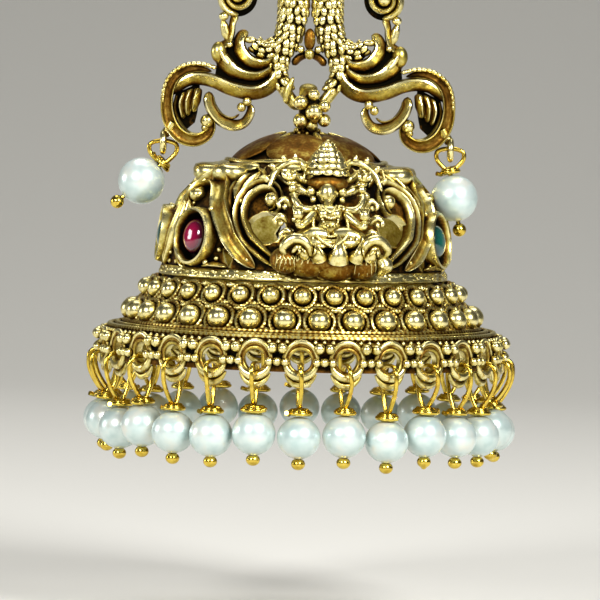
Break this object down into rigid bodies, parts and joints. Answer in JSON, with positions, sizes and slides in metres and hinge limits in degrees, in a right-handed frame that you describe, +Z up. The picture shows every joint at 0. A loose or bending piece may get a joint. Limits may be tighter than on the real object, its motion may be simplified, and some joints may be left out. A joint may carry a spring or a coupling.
{
  "type": "jhumka earring",
  "caption": "Bell-shaped jhumka drop earring: scrolled cast stud head, pierced domed bell with cabochons, and a skirt ringed with pearl drops.",
  "frame": {"origin": "where the post enters the ear, on the flat back of the stud head", "axes": "+Z up, front of the earring faces -Y, +X to the right seen from the front"},
  "size_m": [0.0378, 0.0378, 0.0494],
  "materials": {
    "antique_gold": "antique gold plate, bright on the raised parts and dark in the recesses",
    "bright_gold": "bright gold-plated wire",
    "pearl": "imitation pearl, glossy with a soft sheen",
    "ruby_glass": "polished dark ruby cabochon",
    "emerald_glass": "polished dark emerald cabochon"
  },
  "bodies": {
    "head": {"upper_casting": "antique_gold", "ear_post": "bright_gold", "side_pin_left": "bright_gold", "side_pin_right": "bright_gold", "side_pearl_left": "pearl", "side_pearl_right": "pearl"},
    "bell": {"bell_dome": "antique_gold", "bell_skirt": "antique_gold", "stone_01": "emerald_glass", "stone_02": "ruby_glass", "stone_03": "emerald_glass", "stone_04": "ruby_glass", "stone_05": "emerald_glass", "stone_06": "ruby_glass", "stone_07": "emerald_glass", "stone_08": "ruby_glass", "rim_drop_01": "pearl", "rim_drop_02": "pearl", "rim_drop_03": "pearl", "rim_drop_04": "pearl", "rim_drop_05": "pearl", "rim_drop_06": "pearl", "rim_drop_07": "pearl", "rim_drop_08": "pearl", "rim_drop_09": "pearl", "rim_drop_10": "pearl", "rim_drop_11": "pearl", "rim_drop_12": "pearl", "rim_drop_13": "pearl", "rim_drop_14": "pearl", "rim_drop_15": "pearl", "rim_drop_16": "pearl", "rim_drop_17": "pearl", "rim_drop_18": "pearl", "rim_drop_19": "pearl", "rim_drop_20": "pearl", "rim_drop_21": "pearl", "rim_drop_22": "pearl", "rim_drop_23": "pearl", "rim_drop_24": "pearl", "rim_drop_25": "pearl", "rim_drop_26": "pearl", "rim_drop_27": "pearl", "rim_drop_28": "pearl"}
  },
  "joints": [
    {"name": "bell_swing", "type": "hinge", "parent": "head", "child": "bell", "pos_m": [0, -0.0012, -0.015], "axis": [1, 0, 0], "range_deg": [-25, 25]}
  ]
}
